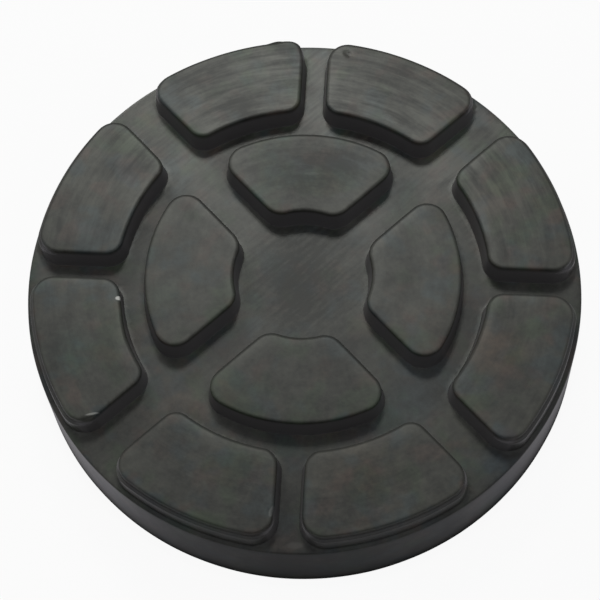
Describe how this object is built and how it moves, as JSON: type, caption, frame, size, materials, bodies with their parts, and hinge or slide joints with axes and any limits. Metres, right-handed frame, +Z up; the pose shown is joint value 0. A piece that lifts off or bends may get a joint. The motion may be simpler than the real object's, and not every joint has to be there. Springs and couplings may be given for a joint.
{
  "type": "lift arm rubber pad",
  "caption": "Round slip-on rubber pad for a vehicle lift arm, with raised tread blocks and petals on top and a socket with a retaining bead underneath.",
  "frame": {"origin": "centre of the underside, on the surface that the pad rests on", "axes": "+Z up through the middle of the pad towards the load, +X and +Y along the channels between the two blocks of a pair"},
  "size_m": [0.1198, 0.1198, 0.025],
  "materials": {
    "rubber": "matt charcoal rubber, lightly mottled and wiped, with a soft sheen"
  },
  "bodies": {
    "root": {"rubber_pad": "rubber"}
  },
  "joints": []
}
